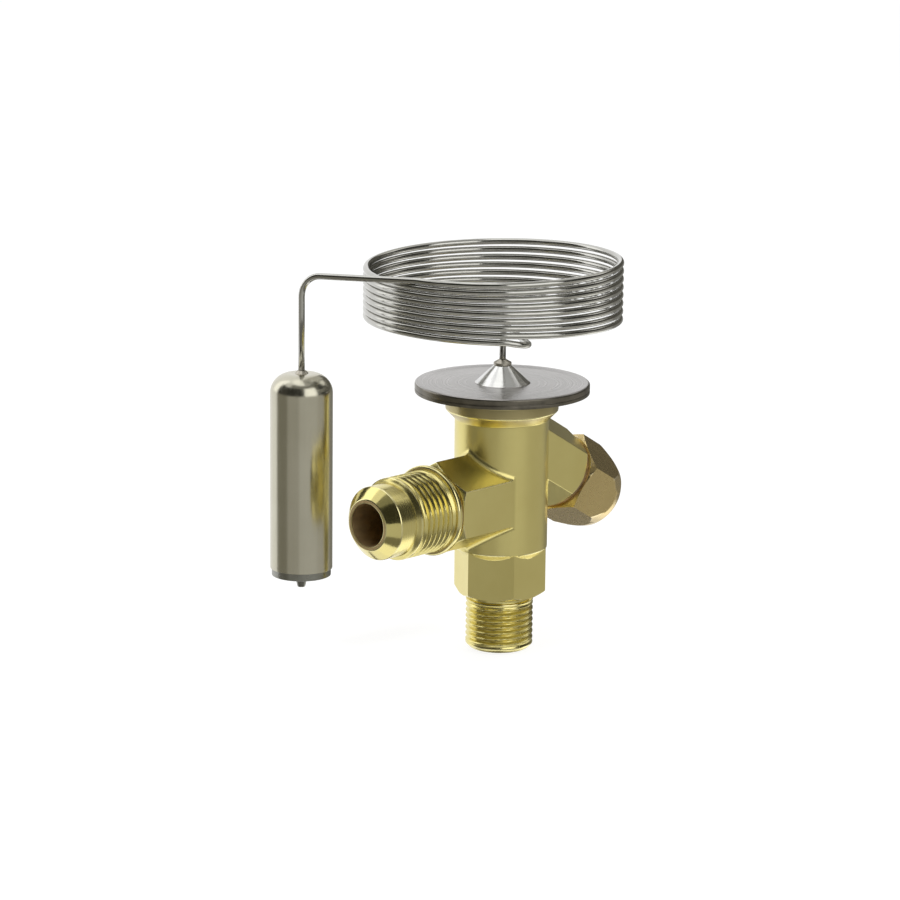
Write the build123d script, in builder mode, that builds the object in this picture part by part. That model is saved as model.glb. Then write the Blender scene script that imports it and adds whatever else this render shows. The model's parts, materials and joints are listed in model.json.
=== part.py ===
"""Thermostatic expansion valve: flared brass body, diaphragm element, coiled capillary tube and bulb.

Millimetres, +Z up. The origin is the centre of the inlet's end face. The outlet points along -X, and the
setting spindle leans down on the +X side under its seal cap.
"""

import os
from math import cos, hypot, pi, radians, sin, tan

from build123d import *

os.makedirs("parts", exist_ok=True)

# Clearances
running_gap = 0.05
face_gap = 0.05
loose_gap = 0.1

# Inlet end, a 5/8-18 UNF flare thread
inlet_thread_r = 7.9375
inlet_length = 13.2
inlet_bore_r = 5.3
end_bevel = 1.0
relief_width = 1.3
relief_depth = 0.9

# Forged body
hex_flats = 19.0
hex_top = 24.5
bevel_angle = 30.0
boss_bevel_angle = 50.0
hexagon_sides = 6
neck_r = 11.0
neck_top = 59.9
flange_r = 13.2
flange_height = 4.8
flange_edge = 2.6
forge_fillet = 1.6

# Outlet arm, a 3/4-16 UNF flare thread
outlet_z = 37.1
outlet_reach = 44.7
outlet_thread_r = 9.525
outlet_bore_r = 5.0
flare_lip_r = 5.9
flare_end_r = 8.5
outlet_pilot = 7.5
outlet_thread_end = 19.2
collar_r = 10.5
collar_width = 1.5
collar_groove = 1.0
collar_groove_r = 8.9
collar_bevel = 0.35
thread_bevel = 0.7

# Setting spindle's axis and its boss
spindle_z = 50.5
spindle_slope = 30.0
boss_flats = 17.6
boss_end = 22.5
spigot_r = 7.5
spigot_end = 33.0
spigot_bevel = 0.6
gland_bore_r = 4.6
gland_bore_start = 18.0

# Setting spindle
spindle_thread_r = 3.0
spindle_tip_r = 1.8
spindle_tip_end_r = 0.6
spindle_tip_t = 3.4
spindle_feed = 1.0
spindle_shank_r = 2.4
spindle_end = 32.4
thread_start = 9.4
ring_groove_r = 2.7
ring_width = 1.8
collar_thickness = 0.6
drive_flats = 3.4
drive_length = 3.2
gland_length = 5.2
slot_width = 1.2
slot_depth = 1.3

# Seal cap and its gasket
gasket_width = 0.8
cap_flats = 18.6
cap_end = 38.5
cap_wall = 1.8
cap_relief_r = 5.2
cap_turn = 14.0
cap_crown = 7.3
cap_shoulder = 1.1
cap_shoulder_step = 0.6
cap_end_step = 1.4

# Body cavities
insert_stop = 26.0
outlet_chamber_r = 4.6
chamber_floor = 45.2
chamber_r = 7.5

# Orifice insert
insert_bottom = 14.0
insert_bore_r = 3.4
seat_bottom = 21.5
seat_top = 24.0
seat_outer_r = 3.0
seat_hole_r = 1.5
seat_bevel = 0.5
insert_throat_r = 2.2
insert_groove_z = 22.2
insert_groove_width = 1.6
insert_groove_depth = 0.9
retainer_thickness = 1.3
retainer_hole_r = 0.65
retainer_holes = 4
retainer_pitch_r = 2.2

# Valve cone and its spring
cone_gap = 0.07
cone_top_r = 1.0
cone_head_r = 1.95
cone_head_length = 1.0
cone_stem_r = 1.2
cone_stem_reserve = 2.1
cone_spring_r = 2.25
cone_spring_wire = 0.3
cone_spring_turns = 3

# Strainer
strainer_bottom = 1.8
strainer_r = 4.2
strainer_wall = 0.35
strainer_ring_height = 2.0

# Push pin, its guide bush and seal
pin_r = 1.1
pin_tip_r = 0.95
pin_tip_length = 3.0
bush_r = 2.6
bush_flange_r = 3.3
bush_flange = 0.6
pin_seal_r = 1.9
pin_seal_height = 1.4

# Spring seat and superheat spring
seat_thickness = 1.6
seat_hub_r = 4.0
seat_hub_height = 0.9
pin_hole_gap = 0.4
spring_r = 5.2
spring_wire = 0.6
spring_turns = 2
spring_top = 58.3
spring_sides = 6
spring_steps = 10

# Diaphragm element
cover_t = 0.8
element_r = 20.4
rim_width = 3.0
dish_height = 1.4
dish_overhang = 0.4
opening_margin = 1.1
upper_rim = 1.45
foil = 0.15
foil_sag = 0.12
foil_step = 1.5
foil_margin = 1.5
rim_weld = 0.8
rim_bevel = 0.3
rim_land = 1.3
dish_shift = 0.4
gas_space = 0.35
top_dish = 0.25
nipple_base_r = 6.5
nipple_height = 4.1
nipple_tip_r = 1.8
braze_ring_r = 2.1
braze_ring = 0.5
braze_height = 0.7
braze_tip = 0.15

# Thrust pad
pad_r = 8.2
pad_disc = 0.6
pad_gap = 0.03
pad_column_r = 6.6
pad_spigot_r = 4.2
pad_spigot = 1.3
pin_socket = 1.1
stroke = 0.6

# Capillary tube
tube_r = 0.75
tube_sides = 8
coil_r = 29.4
coil_centre = (-1.6, 1.8)
coil_start_angle = 229.0
coil_sweep = 8.118
coil_steps = 28
coil_rise = 0.6
coil_pitch = 1.73
coil_fan = 0.20
coil_tilt = 0.8
coil_wide_angle = 350.0
riser = 9.8
tube_socket = 3.4
tube_bend_r = 4.0
entry_lead = 5.6
exit_bend_r = 5.2
exit_drop = 1.65

# Bulb
bulb_axis = (-37.9, 28.0)
bulb_r = 7.25
bulb_bottom = 19.2
bulb_top = 67.0
bulb_dome = 4.6
bulb_mouth_r = 1.6
bulb_cone = 1.2
bulb_nipple_tip_r = 0.9
bulb_socket = 2.0
bulb_cap_height = 1.7
bulb_cap_step = 0.35
bulb_nipple_r = 1.3
bulb_nipple = 3.0


def profile_plane(frame):
    """The half plane through a frame's Z axis: x is the radius, y the way along the axis."""
    return Plane(origin=frame.origin, x_dir=frame.x_dir, z_dir=-frame.y_dir)


def turned(frame, *outline, mode=Mode.ADD):
    """Turns an outline of (radius, place along the axis) points into the part that is being built."""
    with BuildSketch(profile_plane(frame)) as profile:
        with BuildLine():
            Polyline(*outline, close=True)
        make_face()
    revolve(profile.sketch, axis=Axis(frame.origin, frame.z_dir), mode=mode)


def ring(frame, inner_r, outer_r, start, end, mode=Mode.ADD):
    """A plain turned ring between two places on the axis."""
    turned(frame, (inner_r, start), (outer_r, start), (outer_r, end), (inner_r, end), mode=mode)


def corner_radius(flats):
    """A hexagon's radius over its corners."""
    return flats / 2 / cos(pi / hexagon_sides)


def hexagon(frame, flats, start, end):
    """A hexagonal length of bar between two places on the axis, with two flats facing the frame's y."""
    with BuildSketch(frame.offset(start)) as section:
        RegularPolygon(flats / 2, hexagon_sides, major_radius=False)
    extrude(section.sketch, amount=end - start)


def bevel_hexagon(frame, flats, end, way, angle=bevel_angle):
    """Turns a hexagonal bar's corners off at one end. The bar lies on the side that way points to."""
    corner_r = corner_radius(flats) + loose_gap
    depth = (corner_r - flats / 2) * tan(radians(angle))
    turned(
        frame,
        (flats / 2, end - way * loose_gap),
        (flats / 2, end),
        (corner_r, end + way * depth),
        (corner_r, end - way * loose_gap),
        mode=Mode.SUBTRACT,
    )


def spring_path(radius, wire, bottom, top, turns):
    """Centre line of a compression spring between two faces, with a closed turn at each end."""
    end_rise = 2 * wire + running_gap
    free_rise = top - bottom - 2 * wire - 2 * end_rise
    points = []
    for step in range((turns + 2) * spring_steps + 1):
        turn = step / spring_steps
        angle = 2 * pi * turn
        closed = min(turn, 1) + max(turn - turns - 1, 0)
        free = min(max(turn - 1, 0), turns) / turns
        height = bottom + wire + closed * end_rise + free * free_rise
        points.append((radius * cos(angle), radius * sin(angle), height))
    return points


def start_of(path):
    """The plane across the start of a swept path."""
    return Plane(path @ 0, z_dir=path % 0)


def is_arm_root(edge):
    """Whether an edge is where the outlet arm runs into the round neck."""
    on_neck = all(abs(hypot(end.X, end.Y) - neck_r) < running_gap for end in edge.vertices())
    beside_arm = edge.center().X < 0 and edge.center().Z > hex_top + loose_gap
    return on_neck and beside_arm and edge.geom_type != GeomType.CIRCLE


def is_spigot_end(edge):
    """Whether an edge is the outer rim of the spigot's open end."""
    place = spindle_axis.to_local_coords(edge.center()).Z
    return edge.geom_type == GeomType.CIRCLE and abs(place - spigot_end) < face_gap


def coil_angle(turn):
    """The direction from the coil's centre to its wire, so many turns from its lower end."""
    return radians(coil_start_angle) - 2 * pi * turn


def coil_point(turn):
    """The tube's centre line so many turns from the lower end. The turns hang and fan out on one side."""
    angle = coil_angle(turn)
    wide = cos(angle - radians(coil_wide_angle))
    return (
        coil_centre[0] + coil_r * cos(angle),
        coil_centre[1] + coil_r * sin(angle),
        coil_bottom - coil_tilt * wide + (coil_pitch + coil_fan * wide) * turn,
    )


def finish(part, name):
    """Labels a finished sub-part and writes its STEP file."""
    part.label = name
    export_step(part, f"parts/{name}.step")


main_axis = Plane.XY
outlet_axis = Plane(origin=(0, 0, outlet_z), x_dir=(0, 0, 1), z_dir=(-1, 0, 0))
slope = radians(spindle_slope)
spindle_axis = Plane(
    origin=(0, 0, spindle_z),
    x_dir=(sin(slope), 0, cos(slope)),
    z_dir=(cos(slope), 0, -sin(slope)),
)

# Sizes that follow
relief_r = inlet_thread_r - relief_depth
arm_end = outlet_reach - outlet_thread_end - collar_width - collar_groove
flare_length = flare_end_r - flare_lip_r
chamber_top = outlet_z + outlet_bore_r
insert_r = inlet_bore_r - running_gap
tip_shoulder_t = spindle_tip_t + (spindle_tip_r - spindle_tip_end_r) / tan(slope)
tip_top_z = spindle_z - spindle_tip_t * sin(slope) + spindle_tip_end_r * cos(slope)
seat_z = tip_top_z + face_gap
spring_bottom = seat_z + seat_thickness
rim_bottom = neck_top + dish_height
foil_bottom = rim_bottom + cover_t
foil_top = foil_bottom + foil
rim_top = foil_top + upper_rim
dish_inner_r = flange_r + dish_overhang
dish_outer_r = element_r - rim_width
foil_flat_r = dish_outer_r - dish_shift - foil_margin - foil_step
opening_r = chamber_r + opening_margin
nipple_top = rim_top + nipple_height
pad_top = foil_bottom - foil_sag - pad_gap
cone_top = seat_bottom + seat_hole_r + seat_bevel - cone_top_r - cone_gap
cone_edge = cone_top - (cone_head_r - cone_top_r)
cone_seat = cone_edge - cone_head_length
retainer_top = insert_bottom + retainer_thickness
cone_stem_end = retainer_top + stroke + cone_stem_reserve
pin_top = spring_top + pin_socket

collar_start = arm_end + collar_groove
collar_end = collar_start + collar_width
thread_tip = outlet_reach - outlet_pilot
cap_corner_r = corner_radius(cap_flats) + loose_gap
strainer_top = insert_bottom
bush_top = chamber_floor + bush_flange
ring_start = gland_bore_start + spindle_feed + collar_thickness + loose_gap
ring_end = ring_start + ring_width
spindle_bore_start = spindle_tip_t - spindle_feed
gasket_start = boss_end + face_gap
gasket_end = gasket_start + gasket_width
cap_start = gasket_end + face_gap
gasket_r = boss_flats / 2 - face_gap
gland_start = ring_end + collar_thickness + spindle_feed + loose_gap
cap_axis = Plane(
    origin=spindle_axis.origin,
    x_dir=spindle_axis.x_dir * cos(radians(cap_turn)) + spindle_axis.y_dir * sin(radians(cap_turn)),
    z_dir=spindle_axis.z_dir,
)
bulb_frame = Plane(origin=(*bulb_axis, 0))

# Capillary tube's route
riser_top = nipple_top + riser
coil_bottom = riser_top + coil_rise
start_angle = coil_angle(0)
coil_segments = round(coil_sweep * coil_steps)
coil_points = [coil_point(coil_sweep * step / coil_segments) for step in range(coil_segments + 1)]
riser_line = [(0, 0, nipple_top - tube_socket), (0, 0, riser_top)]
entry_corner = (
    coil_points[0][0] - entry_lead * sin(start_angle),
    coil_points[0][1] + entry_lead * cos(start_angle),
    riser_top,
)
exit_corner = (*bulb_axis, coil_points[-1][2] - exit_drop)
bulb_mouth = (*bulb_axis, bulb_top - bulb_socket)

# Valve body
with BuildPart() as valve_body:
    turned(
        main_axis,
        (0, 0),
        (inlet_thread_r - end_bevel, 0),
        (inlet_thread_r, end_bevel),
        (inlet_thread_r, inlet_length - relief_width),
        (relief_r, inlet_length - relief_width),
        (relief_r, inlet_length),
        (0, inlet_length),
    )
    hexagon(main_axis, hex_flats, inlet_length, outlet_z)
    bevel_hexagon(main_axis, hex_flats, inlet_length, 1)
    turned(
        main_axis,
        (0, hex_top - (neck_r - hex_flats / 2)),
        (hex_flats / 2, hex_top - (neck_r - hex_flats / 2)),
        (neck_r, hex_top),
        (neck_r, neck_top),
        (0, neck_top),
    )
    hexagon(outlet_axis, hex_flats, 0, arm_end)
    hexagon(spindle_axis, boss_flats, 0, boss_end)
    arm_roots = valve_body.edges().filter_by(is_arm_root)
    fillet(arm_roots, radius=forge_fillet)
    bevel_hexagon(outlet_axis, hex_flats, arm_end, -1)
    bevel_hexagon(spindle_axis, boss_flats, boss_end, -1, boss_bevel_angle)
    turned(
        main_axis,
        (0, neck_top - flange_height),
        (neck_r, neck_top - flange_height),
        (flange_r, neck_top - flange_edge),
        (flange_r, neck_top),
        (0, neck_top),
    )
    turned(
        outlet_axis,
        (0, 0),
        (collar_groove_r, 0),
        (collar_groove_r, collar_start),
        (collar_r - collar_bevel, collar_start),
        (collar_r, collar_start + collar_bevel),
        (collar_r, collar_end - collar_bevel),
        (collar_r - collar_bevel, collar_end),
        (outlet_thread_r, collar_end),
        (outlet_thread_r, thread_tip - thread_bevel),
        (flare_end_r, thread_tip),
        (flare_end_r, outlet_reach - flare_length),
        (flare_lip_r, outlet_reach),
        (0, outlet_reach),
    )
    ring(spindle_axis, 0, spigot_r, boss_end - loose_gap, spigot_end)
    chamfer(valve_body.edges().filter_by(is_spigot_end), length=spigot_bevel)

    ring(main_axis, 0, inlet_bore_r, 0, insert_stop, mode=Mode.SUBTRACT)
    ring(main_axis, 0, outlet_chamber_r, insert_stop, chamber_top, mode=Mode.SUBTRACT)
    ring(main_axis, 0, bush_r, chamber_top, chamber_floor, mode=Mode.SUBTRACT)
    ring(main_axis, 0, chamber_r, chamber_floor, neck_top, mode=Mode.SUBTRACT)
    ring(outlet_axis, 0, outlet_bore_r, 0, outlet_reach, mode=Mode.SUBTRACT)
    ring(spindle_axis, 0, spindle_thread_r, spindle_bore_start, gland_bore_start, mode=Mode.SUBTRACT)
    ring(spindle_axis, 0, gland_bore_r, gland_bore_start, spigot_end, mode=Mode.SUBTRACT)
finish(valve_body.part, "valve_body")

# Orifice insert in the inlet
with BuildPart() as orifice_housing:
    turned(
        main_axis,
        (insert_bore_r, insert_bottom),
        (insert_r, insert_bottom),
        (insert_r, insert_groove_z),
        (insert_r - insert_groove_depth, insert_groove_z),
        (insert_r - insert_groove_depth, insert_groove_z + insert_groove_width),
        (insert_r, insert_groove_z + insert_groove_width),
        (insert_r, insert_stop),
        (insert_throat_r, insert_stop),
        (insert_throat_r, seat_top),
        (seat_outer_r, seat_top),
        (seat_outer_r, seat_bottom),
        (insert_bore_r, seat_bottom),
    )
finish(orifice_housing.part, "orifice_housing")

with BuildPart() as orifice_seat:
    turned(
        main_axis,
        (seat_hole_r + seat_bevel, seat_bottom),
        (seat_outer_r, seat_bottom),
        (seat_outer_r, seat_top),
        (seat_hole_r, seat_top),
        (seat_hole_r, seat_bottom + seat_bevel),
    )
finish(orifice_seat.part, "orifice_seat")

with BuildPart() as insert_seal:
    ring(
        main_axis,
        insert_r - insert_groove_depth,
        inlet_bore_r,
        insert_groove_z,
        insert_groove_z + insert_groove_width,
    )
finish(insert_seal.part, "insert_seal")

with BuildPart() as valve_cone:
    turned(
        main_axis,
        (0, cone_stem_end),
        (cone_stem_r, cone_stem_end),
        (cone_stem_r, cone_seat),
        (cone_head_r, cone_seat),
        (cone_head_r, cone_edge),
        (cone_top_r, cone_top),
        (0, cone_top),
    )
finish(valve_cone.part, "valve_cone")

with BuildPart() as cone_spring:
    with BuildLine() as cone_spring_path:
        Polyline(*spring_path(cone_spring_r, cone_spring_wire, retainer_top, cone_seat, cone_spring_turns))
    with BuildSketch(start_of(cone_spring_path.wire())):
        RegularPolygon(cone_spring_wire, spring_sides)
    sweep(path=cone_spring_path.wire(), transition=Transition.RIGHT)
finish(cone_spring.part, "cone_spring")

with BuildPart() as cone_spring_retainer:
    with BuildSketch(main_axis.offset(insert_bottom)):
        Circle(insert_bore_r)
        Circle(retainer_hole_r, mode=Mode.SUBTRACT)
        with PolarLocations(retainer_pitch_r, retainer_holes):
            Circle(retainer_hole_r, mode=Mode.SUBTRACT)
    extrude(amount=retainer_thickness)
finish(cone_spring_retainer.part, "cone_spring_retainer")

# Inlet strainer
with BuildPart() as strainer_ring:
    ring(main_axis, strainer_r, insert_r, strainer_top - strainer_ring_height, strainer_top)
finish(strainer_ring.part, "strainer_ring")

with BuildPart() as strainer_mesh:
    turned(
        main_axis,
        (0, strainer_bottom),
        (strainer_r, strainer_bottom),
        (strainer_r, strainer_top),
        (strainer_r - strainer_wall, strainer_top),
        (strainer_r - strainer_wall, strainer_bottom + strainer_wall),
        (0, strainer_bottom + strainer_wall),
    )
finish(strainer_mesh.part, "strainer_mesh")

# Push pin and its guide
with BuildPart() as push_pin:
    turned(
        main_axis,
        (0, cone_top),
        (pin_tip_r, cone_top),
        (pin_tip_r, cone_top + pin_tip_length),
        (pin_r, cone_top + pin_tip_length),
        (pin_r, pin_top),
        (0, pin_top),
    )
finish(push_pin.part, "push_pin")

with BuildPart() as pin_guide_bush:
    turned(
        main_axis,
        (pin_r + running_gap, chamber_top),
        (bush_r, chamber_top),
        (bush_r, chamber_floor),
        (bush_flange_r, chamber_floor),
        (bush_flange_r, bush_top),
        (pin_seal_r, bush_top),
        (pin_seal_r, bush_top - pin_seal_height),
        (pin_r + running_gap, bush_top - pin_seal_height),
    )
finish(pin_guide_bush.part, "pin_guide_bush")

with BuildPart() as pin_seal:
    ring(main_axis, pin_r + running_gap, pin_seal_r, bush_top - pin_seal_height, bush_top)
finish(pin_seal.part, "pin_seal")

# Superheat spring and its seat
with BuildPart() as spring_seat:
    turned(
        main_axis,
        (pin_r + pin_hole_gap, seat_z),
        (chamber_r - loose_gap, seat_z),
        (chamber_r - loose_gap, spring_bottom),
        (seat_hub_r, spring_bottom),
        (seat_hub_r, spring_bottom + seat_hub_height),
        (pin_r + pin_hole_gap, spring_bottom + seat_hub_height),
    )
finish(spring_seat.part, "spring_seat")

with BuildPart() as superheat_spring:
    with BuildLine() as superheat_spring_path:
        Polyline(*spring_path(spring_r, spring_wire, spring_bottom, spring_top, spring_turns))
    with BuildSketch(start_of(superheat_spring_path.wire())):
        RegularPolygon(spring_wire, spring_sides)
    sweep(path=superheat_spring_path.wire(), transition=Transition.RIGHT)
finish(superheat_spring.part, "superheat_spring")

with BuildPart() as thrust_pad:
    turned(
        main_axis,
        (0, spring_top - pad_spigot),
        (pad_spigot_r, spring_top - pad_spigot),
        (pad_spigot_r, spring_top),
        (pad_column_r, spring_top),
        (pad_column_r, pad_top - pad_disc),
        (pad_r, pad_top - pad_disc),
        (pad_r, pad_top),
        (0, pad_top),
    )
    ring(main_axis, 0, pin_r, spring_top - pad_spigot, pin_top, mode=Mode.SUBTRACT)
finish(thrust_pad.part, "thrust_pad")

# Diaphragm element
with BuildPart() as element_lower_cover:
    turned(
        main_axis,
        (opening_r, neck_top),
        (dish_inner_r, neck_top),
        (dish_outer_r, rim_bottom),
        (element_r, rim_bottom),
        (element_r, rim_bottom + cover_t),
        (dish_outer_r - dish_shift, rim_bottom + cover_t),
        (dish_inner_r - dish_shift, neck_top + cover_t),
        (opening_r, neck_top + cover_t),
    )
finish(element_lower_cover.part, "element_lower_cover")

with BuildPart() as diaphragm:
    turned(
        main_axis,
        (0, foil_bottom - foil_sag),
        (foil_flat_r, foil_bottom - foil_sag),
        (foil_flat_r + foil_step, foil_bottom),
        (element_r - rim_weld, foil_bottom),
        (element_r - rim_weld, foil_top),
        (foil_flat_r + foil_step, foil_top),
        (foil_flat_r, foil_top - foil_sag),
        (0, foil_top - foil_sag),
    )
finish(diaphragm.part, "diaphragm")

with BuildPart() as element_upper_cover:
    turned(
        main_axis,
        (tube_r, foil_top + gas_space),
        (dish_outer_r - dish_shift, foil_top + gas_space),
        (dish_outer_r, foil_top),
        (element_r, foil_top),
        (element_r, rim_top - rim_bevel),
        (element_r - rim_bevel, rim_top),
        (element_r - rim_land, rim_top),
        (element_r - rim_land - rim_land, rim_top - top_dish),
        (nipple_base_r, rim_top - top_dish),
        (nipple_tip_r, nipple_top),
        (tube_r, nipple_top),
    )
finish(element_upper_cover.part, "element_upper_cover")

with BuildPart() as element_braze:
    turned(
        main_axis,
        (tube_r, nipple_top),
        (braze_ring_r, nipple_top),
        (braze_ring_r, nipple_top + braze_ring),
        (tube_r + braze_tip, nipple_top + braze_ring + braze_height),
        (tube_r, nipple_top + braze_ring + braze_height),
    )
finish(element_braze.part, "element_braze")

# Setting spindle, its packing and gland. The tip's cone has the spindle's slope, so its top lies level
with BuildPart() as setting_spindle:
    turned(
        spindle_axis,
        (0, spindle_tip_t),
        (spindle_tip_end_r, spindle_tip_t),
        (spindle_tip_r, tip_shoulder_t),
        (spindle_tip_r, thread_start),
        (spindle_thread_r - running_gap, thread_start),
        (spindle_thread_r - running_gap, ring_start - collar_thickness),
        (gland_bore_r - loose_gap, ring_start - collar_thickness),
        (gland_bore_r - loose_gap, ring_start),
        (ring_groove_r, ring_start),
        (ring_groove_r, ring_end),
        (gland_bore_r - loose_gap, ring_end),
        (gland_bore_r - loose_gap, ring_end + collar_thickness),
        (spindle_shank_r, ring_end + collar_thickness),
        (spindle_shank_r, spindle_end - drive_length),
        (0, spindle_end - drive_length),
    )
    with BuildSketch(spindle_axis.offset(spindle_end - drive_length)):
        Rectangle(drive_flats, drive_flats)
    extrude(amount=drive_length)
finish(setting_spindle.part, "setting_spindle")

with BuildPart() as spindle_ring:
    ring(
        spindle_axis,
        ring_groove_r + running_gap,
        gland_bore_r - running_gap,
        ring_start + face_gap,
        ring_end - face_gap,
    )
finish(spindle_ring.part, "spindle_ring")

with BuildPart() as packing_gland:
    ring(spindle_axis, spindle_shank_r + loose_gap, gland_bore_r, gland_start, gland_start + gland_length)
    with BuildSketch(spindle_axis.offset(gland_start + gland_length)):
        Rectangle(slot_width, 2 * gland_bore_r)
    extrude(amount=-slot_depth, mode=Mode.SUBTRACT)
finish(packing_gland.part, "packing_gland")

# Seal cap and its gasket
with BuildPart() as cap_gasket:
    ring(spindle_axis, spigot_r + running_gap, gasket_r, gasket_start, gasket_end)
finish(cap_gasket.part, "cap_gasket")

with BuildPart() as seal_cap:
    hexagon(cap_axis, cap_flats, cap_start, cap_end)
    bevel_hexagon(cap_axis, cap_flats, cap_start, 1)
    turned(
        cap_axis,
        (cap_flats / 2 - cap_end_step, cap_end + loose_gap),
        (cap_flats / 2 - cap_end_step, cap_end),
        (cap_flats / 2 - cap_shoulder_step, cap_end - cap_shoulder),
        (cap_corner_r, cap_end - cap_crown),
        (cap_corner_r, cap_end + loose_gap),
        mode=Mode.SUBTRACT,
    )
    ring(cap_axis, 0, spigot_r + running_gap, cap_start, spigot_end + loose_gap, mode=Mode.SUBTRACT)
    ring(cap_axis, 0, cap_relief_r, spigot_end, cap_end - cap_wall, mode=Mode.SUBTRACT)
finish(seal_cap.part, "seal_cap")

# Capillary tube
with BuildPart() as capillary_tube:
    with BuildLine() as tube_path:
        FilletPolyline(*riser_line, entry_corner, coil_points[0], radius=tube_bend_r)
        Polyline(*coil_points)
        FilletPolyline(coil_points[-1], exit_corner, bulb_mouth, radius=exit_bend_r)
    with BuildSketch(start_of(tube_path.wire())):
        RegularPolygon(tube_r, tube_sides)
    sweep(path=tube_path.wire(), transition=Transition.RIGHT)
finish(capillary_tube.part, "capillary_tube")

# Bulb
with BuildPart() as bulb_shell:
    ring(bulb_frame, 0, bulb_r, bulb_bottom + bulb_cap_height, bulb_top)
    fillet(bulb_shell.edges().sort_by(Axis.Z)[-1], radius=bulb_dome)
    ring(bulb_frame, 0, tube_r, bulb_top - bulb_socket, bulb_top, mode=Mode.SUBTRACT)
finish(bulb_shell.part, "bulb_shell")

with BuildPart() as bulb_braze:
    turned(
        bulb_frame,
        (tube_r, bulb_top),
        (bulb_mouth_r, bulb_top),
        (tube_r + braze_tip, bulb_top + braze_height),
        (tube_r, bulb_top + braze_height),
    )
finish(bulb_braze.part, "bulb_braze")

with BuildPart() as bulb_end_cap:
    turned(
        bulb_frame,
        (0, bulb_bottom - bulb_nipple),
        (bulb_nipple_tip_r, bulb_bottom - bulb_nipple),
        (bulb_nipple_r, bulb_bottom - bulb_cone),
        (bulb_r - bulb_cap_step, bulb_bottom),
        (bulb_r - bulb_cap_step, bulb_bottom + bulb_cap_height),
        (0, bulb_bottom + bulb_cap_height),
    )
finish(bulb_end_cap.part, "bulb_end_cap")
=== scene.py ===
"""Looks of the thermostatic expansion valve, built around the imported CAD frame. Metres, +Z up.

The origin is the centre of the inlet's end face. The outlet points along -X, the setting spindle leans
down on the +X side, and the element, the coiled capillary tube and the bulb are above.
"""

import json
import math

import bmesh
import bpy
from mathutils import Matrix, Vector, kdtree


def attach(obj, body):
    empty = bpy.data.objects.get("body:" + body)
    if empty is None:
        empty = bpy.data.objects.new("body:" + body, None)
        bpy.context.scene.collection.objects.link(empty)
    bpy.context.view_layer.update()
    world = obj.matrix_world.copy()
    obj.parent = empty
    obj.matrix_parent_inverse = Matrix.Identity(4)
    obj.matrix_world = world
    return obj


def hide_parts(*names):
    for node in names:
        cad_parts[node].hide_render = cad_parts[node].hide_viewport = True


MM = 0.001

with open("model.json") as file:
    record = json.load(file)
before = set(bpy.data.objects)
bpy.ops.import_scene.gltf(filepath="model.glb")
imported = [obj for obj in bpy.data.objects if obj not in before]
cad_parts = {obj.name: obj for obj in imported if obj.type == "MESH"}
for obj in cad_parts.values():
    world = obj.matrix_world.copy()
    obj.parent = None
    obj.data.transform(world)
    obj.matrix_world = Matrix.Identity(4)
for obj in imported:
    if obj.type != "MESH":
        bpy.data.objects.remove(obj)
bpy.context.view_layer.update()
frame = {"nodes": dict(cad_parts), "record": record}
nodes = frame["nodes"]

# The photograph's camera: a long lens, 43 degrees round from the outlet and 13 degrees up
CAMERA_ROUND = math.radians(43)
CAMERA_UP = math.radians(13)
CAMERA_ROLL = math.radians(0.6)
CAMERA_DISTANCE = 850 * MM
CAMERA_LENS = 145.6
TARGET_HEIGHT = 47.2 * MM
TARGET_SHIFT = -12.0 * MM

# Sizes shared with the CAD source
INLET_THREAD_R = 7.9375 * MM
INLET_THREAD_START = 1.0 * MM
INLET_THREAD_END = 11.9 * MM
INLET_PITCH = 25.4 / 18 * MM
OUTLET_Z = 37.1 * MM
OUTLET_THREAD_R = 9.525 * MM
OUTLET_THREAD_START = 25.5 * MM
OUTLET_THREAD_END = 36.5 * MM
OUTLET_PITCH = 25.4 / 16 * MM
SPINDLE_Z = 50.5 * MM
SPINDLE_SLOPE = math.radians(30)
SPIGOT_R = 7.5 * MM
SPIGOT_START = 22.5 * MM
SPIGOT_END = 32.4 * MM
SPIGOT_PITCH = 1.0 * MM
THREAD_DEPTH = 0.54
THREAD_GROOVE = 0.41
ELEMENT_R = 20.4 * MM
SEAM_BOTTOM = 62.1 * MM
SEAM_TOP = 62.25 * MM
NIPPLE_R = 6.6 * MM
NIPPLE_BASE = 63.75 * MM
FLANGE_BASE = 54.6 * MM
# Heights over which the flange's painted shadow of the element disc deepens
DISC_SHADOW_START = 54.8 * MM
DISC_SHADOW_END = 60.2 * MM
BORE_R = 5.05 * MM
FLARE_START = 42.1 * MM
ARM_END_START = 23.5 * MM
BORE_DEEPEST = 12 * MM
INLET_END_TOP = 13.1 * MM
SPIGOT_FACES_START = 22.6 * MM
RIM_WIDTH = 0.35 * MM
RIM_TOP = 63.5 * MM
FLANGE_INNER_R = 11.2 * MM

# Capillary tube, as in the CAD source
TUBE_R = 0.75 * MM
COIL_R = 29.4 * MM
COIL_CENTRE = Vector((-1.6, 1.8, 0)) * MM
COIL_START_ANGLE = math.radians(229.0)
COIL_SWEEP = 8.118
COIL_BOTTOM = 78.2 * MM
COIL_PITCH = 1.73 * MM
COIL_FAN = 0.20 * MM
COIL_TILT = 0.8 * MM
COIL_WIDE_ANGLE = math.radians(350.0)
RISER_TOP = 77.6 * MM
TUBE_SOCKET_Z = 64.4 * MM
TUBE_BEND_R = 4.0 * MM
ENTRY_LEAD = 5.6 * MM
EXIT_BEND_R = 5.2 * MM
EXIT_DROP = 1.65 * MM
BULB_AXIS = Vector((-37.9, 28.0, 0)) * MM
BULB_SOCKET_Z = 65.0 * MM


# Node materials

def new_material(name):
    """An empty node material with its shader joined to the output."""
    material = bpy.data.materials.new(name)
    material.use_nodes = True
    tree = material.node_tree
    tree.nodes.clear()
    output = tree.nodes.new("ShaderNodeOutputMaterial")
    shader = tree.nodes.new("ShaderNodeBsdfPrincipled")
    tree.links.new(shader.outputs["BSDF"], output.inputs["Surface"])
    return material, tree, shader


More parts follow.
